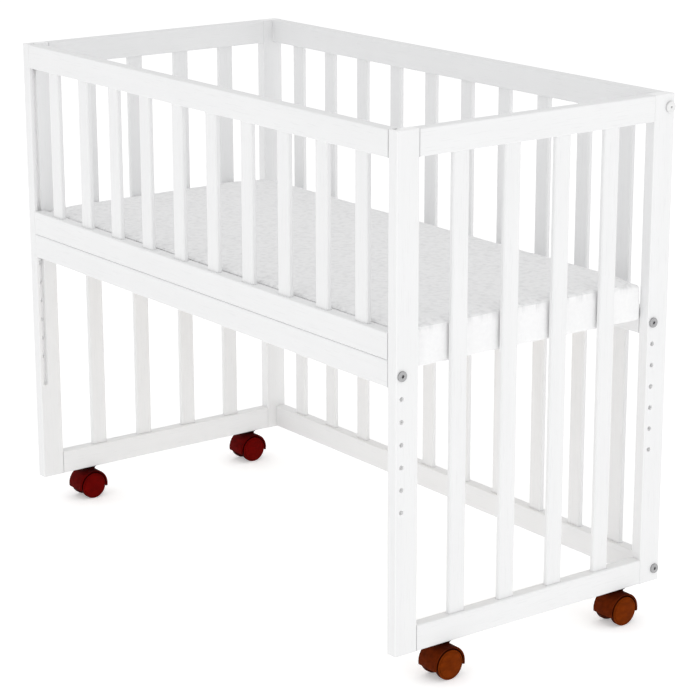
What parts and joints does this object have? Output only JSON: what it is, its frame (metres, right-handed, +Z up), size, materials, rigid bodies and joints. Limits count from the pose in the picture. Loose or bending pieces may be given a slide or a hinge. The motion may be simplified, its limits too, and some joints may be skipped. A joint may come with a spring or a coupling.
{
  "type": "bedside sleeper crib",
  "caption": "White slatted bedside crib on hooded twin-wheel casters, with a height-adjustable base, a mattress and a lift-out front guard.",
  "frame": {"origin": "on the floor, under the middle of the crib", "axes": "+X along the crib to the right as seen from its open front, +Y to its back panel, +Z up"},
  "size_m": [1.001, 0.496, 0.7825],
  "materials": {
    "white_lacquer": "satin white lacquer over solid wood",
    "bare_beech": "bare sanded beech",
    "zinc_steel": "zinc plated",
    "white_plastic": "matt moulded",
    "black_plastic": "matt moulded",
    "caster_red": "dark red moulded",
    "caster_brown": "dark red-brown moulded",
    "mattress_cover": "white knitted cotton cover"
  },
  "bodies": {
    "frame": {"left_front_post": "white_lacquer", "left_back_post": "white_lacquer", "left_top_rail": "white_lacquer", "left_bottom_rail": "white_lacquer", "left_slats": "white_lacquer", "right_front_post": "white_lacquer", "right_back_post": "white_lacquer", "right_top_rail": "white_lacquer", "right_bottom_rail": "white_lacquer", "right_slats": "white_lacquer", "back_top_rail": "white_lacquer", "back_bottom_rail": "white_lacquer", "back_slats": "white_lacquer", "back_panel_bolts": "zinc_steel", "back_panel_inserts": "zinc_steel", "bolt_caps": "white_plastic", "caster_sockets": "black_plastic"},
    "base": {"base_front_rail": "white_lacquer", "base_back_rail": "white_lacquer", "front_ledger": "bare_beech", "back_ledger": "bare_beech", "bed_slats": "bare_beech", "height_bolts": "zinc_steel", "height_inserts": "zinc_steel", "mattress": "mattress_cover"},
    "guard": {"guard_top_rail": "white_lacquer", "guard_low_rail": "white_lacquer", "guard_slats": "white_lacquer", "guard_pins": "bare_beech"},
    "left_front_caster": {"left_front_caster_stem": "zinc_steel", "left_front_caster_hood": "caster_red", "left_front_caster_axle": "zinc_steel"},
    "left_front_caster_outer_wheel_body": {"left_front_caster_outer_wheel": "caster_red"},
    "left_front_caster_inner_wheel_body": {"left_front_caster_inner_wheel": "caster_red"},
    "left_back_caster": {"left_back_caster_stem": "zinc_steel", "left_back_caster_hood": "caster_red", "left_back_caster_axle": "zinc_steel"},
    "left_back_caster_outer_wheel_body": {"left_back_caster_outer_wheel": "caster_red"},
    "left_back_caster_inner_wheel_body": {"left_back_caster_inner_wheel": "caster_red"},
    "right_front_caster": {"right_front_caster_stem": "zinc_steel", "right_front_caster_hood": "caster_brown", "right_front_caster_axle": "zinc_steel"},
    "right_front_caster_outer_wheel_body": {"right_front_caster_outer_wheel": "caster_brown"},
    "right_front_caster_inner_wheel_body": {"right_front_caster_inner_wheel": "caster_brown"},
    "right_back_caster": {"right_back_caster_stem": "zinc_steel", "right_back_caster_hood": "caster_brown", "right_back_caster_axle": "zinc_steel"},
    "right_back_caster_outer_wheel_body": {"right_back_caster_outer_wheel": "caster_brown"},
    "right_back_caster_inner_wheel_body": {"right_back_caster_inner_wheel": "caster_brown"}
  },
  "joints": [
    {"name": "base_height", "type": "slide", "parent": "frame", "child": "base", "axis": [0, 0, 1], "range_m": [-0.192, 0]},
    {"name": "guard_lift", "type": "slide", "parent": "base", "child": "guard", "axis": [0, 0, 1], "range_m": [0, 0.3]},
    {"name": "left_front_caster_swivel", "type": "hinge", "parent": "frame", "child": "left_front_caster", "pos_m": [-0.4805, -0.15, 0.0525], "axis": [0, 0, 1], "continuous": true},
    {"name": "left_front_caster_outer_wheel_spin", "type": "hinge", "parent": "left_front_caster", "child": "left_front_caster_outer_wheel_body", "pos_m": [-0.4805, -0.158, 0.022], "axis": [1, 0, 0], "continuous": true},
    {"name": "left_front_caster_inner_wheel_spin", "type": "hinge", "parent": "left_front_caster", "child": "left_front_caster_inner_wheel_body", "pos_m": [-0.4805, -0.158, 0.022], "axis": [1, 0, 0], "continuous": true},
    {"name": "left_back_caster_swivel", "type": "hinge", "parent": "frame", "child": "left_back_caster", "pos_m": [-0.4805, 0.18, 0.0525], "axis": [0, 0, 1], "continuous": true},
    {"name": "left_back_caster_outer_wheel_spin", "type": "hinge", "parent": "left_back_caster", "child": "left_back_caster_outer_wheel_body", "pos_m": [-0.4805, 0.172, 0.022], "axis": [1, 0, 0], "continuous": true},
    {"name": "left_back_caster_inner_wheel_spin", "type": "hinge", "parent": "left_back_caster", "child": "left_back_caster_inner_wheel_body", "pos_m": [-0.4805, 0.172, 0.022], "axis": [1, 0, 0], "continuous": true},
    {"name": "right_front_caster_swivel", "type": "hinge", "parent": "frame", "child": "right_front_caster", "pos_m": [0.4805, -0.15, 0.0525], "axis": [0, 0, 1], "continuous": true},
    {"name": "right_front_caster_outer_wheel_spin", "type": "hinge", "parent": "right_front_caster", "child": "right_front_caster_outer_wheel_body", "pos_m": [0.4805, -0.158, 0.022], "axis": [1, 0, 0], "continuous": true},
    {"name": "right_front_caster_inner_wheel_spin", "type": "hinge", "parent": "right_front_caster", "child": "right_front_caster_inner_wheel_body", "pos_m": [0.4805, -0.158, 0.022], "axis": [1, 0, 0], "continuous": true},
    {"name": "right_back_caster_swivel", "type": "hinge", "parent": "frame", "child": "right_back_caster", "pos_m": [0.4805, 0.18, 0.0525], "axis": [0, 0, 1], "continuous": true},
    {"name": "right_back_caster_outer_wheel_spin", "type": "hinge", "parent": "right_back_caster", "child": "right_back_caster_outer_wheel_body", "pos_m": [0.4805, 0.172, 0.022], "axis": [1, 0, 0], "continuous": true},
    {"name": "right_back_caster_inner_wheel_spin", "type": "hinge", "parent": "right_back_caster", "child": "right_back_caster_inner_wheel_body", "pos_m": [0.4805, 0.172, 0.022], "axis": [1, 0, 0], "continuous": true}
  ]
}
